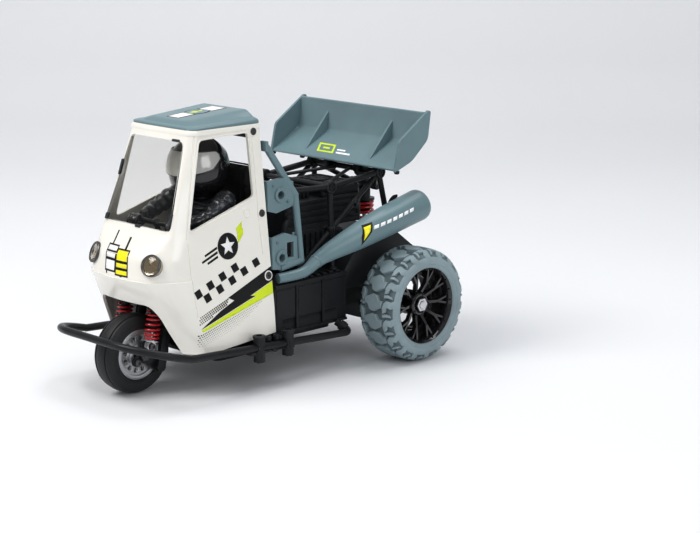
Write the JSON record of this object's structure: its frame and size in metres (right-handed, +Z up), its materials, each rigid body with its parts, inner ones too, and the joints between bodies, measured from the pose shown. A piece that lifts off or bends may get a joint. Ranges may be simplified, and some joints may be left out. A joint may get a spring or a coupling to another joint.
{
  "type": "remote control three-wheeled cab racer",
  "caption": "Remote controlled three-wheeled racer with a white cab, sprung steered front wheel, live rear axle, roll cage, wing and side exhaust.",
  "frame": {"origin": "on the ground, midway between the front of the bumper and the rear of the rear tyres, on the car's centre plane", "axes": "+X forward, +Y to the car's left, +Z up"},
  "size_m": [0.241, 0.155, 0.1635],
  "materials": {
    "cab_white": "glossy warm white moulded plastic with printed stripes",
    "blue_grey": "satin blue-grey moulded plastic",
    "black_plastic": "satin black glass-filled nylon",
    "soft_black": "textured black moulded plastic",
    "smoke": "thin clear polycarbonate",
    "lamp_clear": "clear moulded lens",
    "lamp_bowl": "beige reflector bowl with a dark rim",
    "helmet_black": "gloss black helmet shell",
    "visor": "light grey mirrored visor",
    "leather": "black quilted jacket and gloves",
    "seat_fabric": "black seat cover",
    "steel": "bright steel",
    "dark_steel": "dark screws",
    "rim_silver": "satin silver rim",
    "rim_black": "black spoked rim",
    "front_rubber": "smooth black rubber",
    "rear_rubber": "light blue-grey rubber",
    "spring_red": "red coated spring steel",
    "brass": "turned brass",
    "nylon": "natural nylon",
    "battery_blue": "shrink-wrapped battery pack",
    "board_green": "receiver case"
  },
  "bodies": {
    "chassis": {"chassis_plate": "black_plastic", "tub": "soft_black", "battery": "battery_blue", "receiver": "board_green", "switch_body": "black_plastic", "steering_servo": "black_plastic", "steering_head": "black_plastic", "stem_bushes": "brass", "bumper_rail": "black_plastic", "bumper_brackets": "soft_black", "cab_shell": "cab_white", "roof_cap": "blue_grey", "windshield": "smoke", "headlight_bowls": "lamp_bowl", "headlight_lenses": "lamp_clear", "cab_back": "black_plastic", "cab_floor": "black_plastic", "seat": "seat_fabric", "driver_body": "leather", "driver_helmet": "helmet_black", "driver_visor": "visor", "driver_gloves": "leather", "handlebar": "black_plastic", "side_racks": "blue_grey", "roll_cage": "black_plastic", "engine_block": "soft_black", "engine_cover": "soft_black", "wing": "blue_grey", "wing_mount": "black_plastic", "exhaust": "blue_grey", "exhaust_bracket": "black_plastic", "cab_screws": "dark_steel", "rear_guard": "soft_black", "pivot_pin": "steel"},
    "switch": {"switch_slider": "steel"},
    "horn": {"servo_horn": "nylon"},
    "link": {"drag_link": "steel"},
    "steering": {"fork": "black_plastic", "steering_arm": "black_plastic"},
    "front_arm": {"front_arms": "black_plastic", "front_axle": "steel"},
    "front_wheel": {"front_rim": "rim_silver", "front_tyre": "front_rubber", "front_bearings": "steel"},
    "front_shock_upper": {"front_shock_bodies": "black_plastic", "front_springs": "spring_red"},
    "front_shock_lower": {"front_shock_rods": "steel"},
    "rear_swing": {"swing_frame": "black_plastic", "gearbox_cover": "soft_black", "motor": "steel", "rear_bearings": "steel"},
    "pinion_shaft": {"pinion": "brass"},
    "rear_axle_body": {"rear_axle": "steel", "spur_gear": "nylon", "rear_rims": "rim_black", "rear_tyres": "rear_rubber", "wheel_nuts": "steel"},
    "rear_shock_upper": {"rear_shock_body": "black_plastic", "rear_spring": "spring_red"},
    "rear_shock_lower": {"rear_shock_rod": "steel"}
  },
  "joints": [
    {"name": "switch_slide", "type": "slide", "parent": "chassis", "child": "switch", "axis": [1, 0, 0], "range_m": [0, 0.004]},
    {"name": "steering_turn", "type": "hinge", "parent": "chassis", "child": "steering", "pos_m": [0.07973, 0, 0.06293], "axis": [-0.2079, 0, 0.9781], "range_deg": [-26, 26]},
    {"name": "servo_turn", "type": "hinge", "parent": "chassis", "child": "horn", "pos_m": [0.04481, 0, 0.06368], "axis": [-0.2079, 0, 0.9781], "range_deg": [-27, 27]},
    {"name": "link_turn", "type": "hinge", "parent": "horn", "child": "link", "pos_m": [0.04398, -0.009, 0.0676], "axis": [-0.2079, 0, 0.9781], "range_deg": [-27, 27]},
    {"name": "front_arm_swing", "type": "hinge", "parent": "steering", "child": "front_arm", "pos_m": [0.07827, 0, 0.01548], "axis": [0, 1, 0], "range_deg": [-10, 4]},
    {"name": "front_wheel_spin", "type": "hinge", "parent": "front_arm", "child": "front_wheel", "pos_m": [0.08945, 0, 0.0238], "axis": [0, 1, 0], "continuous": true},
    {"name": "front_shock_swivel", "type": "hinge", "parent": "steering", "child": "front_shock_upper", "pos_m": [0.08109, 0, 0.05657], "axis": [0, 1, 0], "range_deg": [-2, 5]},
    {"name": "front_shock_travel", "type": "slide", "parent": "front_shock_upper", "child": "front_shock_lower", "axis": [-0.2079, 0, 0.9781], "range_m": [-0.0009, 0.0021], "deforming": ["front_springs"]},
    {"name": "rear_swing_pivot", "type": "hinge", "parent": "chassis", "child": "rear_swing", "pos_m": [-0.04075, 0, 0.036], "axis": [0, 1, 0], "range_deg": [-2.5, 4.5]},
    {"name": "rear_axle_spin", "type": "hinge", "parent": "rear_swing", "child": "rear_axle_body", "pos_m": [-0.08475, 0, 0.0358], "axis": [0, 1, 0], "continuous": true},
    {"name": "pinion_spin", "type": "hinge", "parent": "rear_swing", "child": "pinion_shaft", "pos_m": [-0.06671, 0, 0.04237], "axis": [0, 1, 0], "continuous": true},
    {"name": "rear_shock_swivel", "type": "hinge", "parent": "chassis", "child": "rear_shock_upper", "pos_m": [-0.10475, 0, 0.102], "axis": [0, 1, 0], "range_deg": [-3.8, 2.2]},
    {"name": "rear_shock_travel", "type": "slide", "parent": "rear_shock_upper", "child": "rear_shock_lower", "axis": [0, 0, 1], "range_m": [-0.003, 0.0052], "deforming": ["rear_spring"]}
  ],
  "couplings": [
    {"joint": "servo_turn", "follows": "steering_turn", "ratio": 1},
    {"joint": "link_turn", "follows": "steering_turn", "ratio": -1},
    {"joint": "front_shock_swivel", "follows": "front_arm_swing", "ratio": -0.45588},
    {"joint": "front_shock_travel", "follows": "front_arm_swing", "m_per_rad": -0.0113},
    {"joint": "pinion_spin", "follows": "rear_axle_spin", "ratio": -3},
    {"joint": "rear_shock_swivel", "follows": "rear_swing_pivot", "ratio": -0.8},
    {"joint": "rear_shock_travel", "follows": "rear_swing_pivot", "m_per_rad": 0.0625}
  ]
}
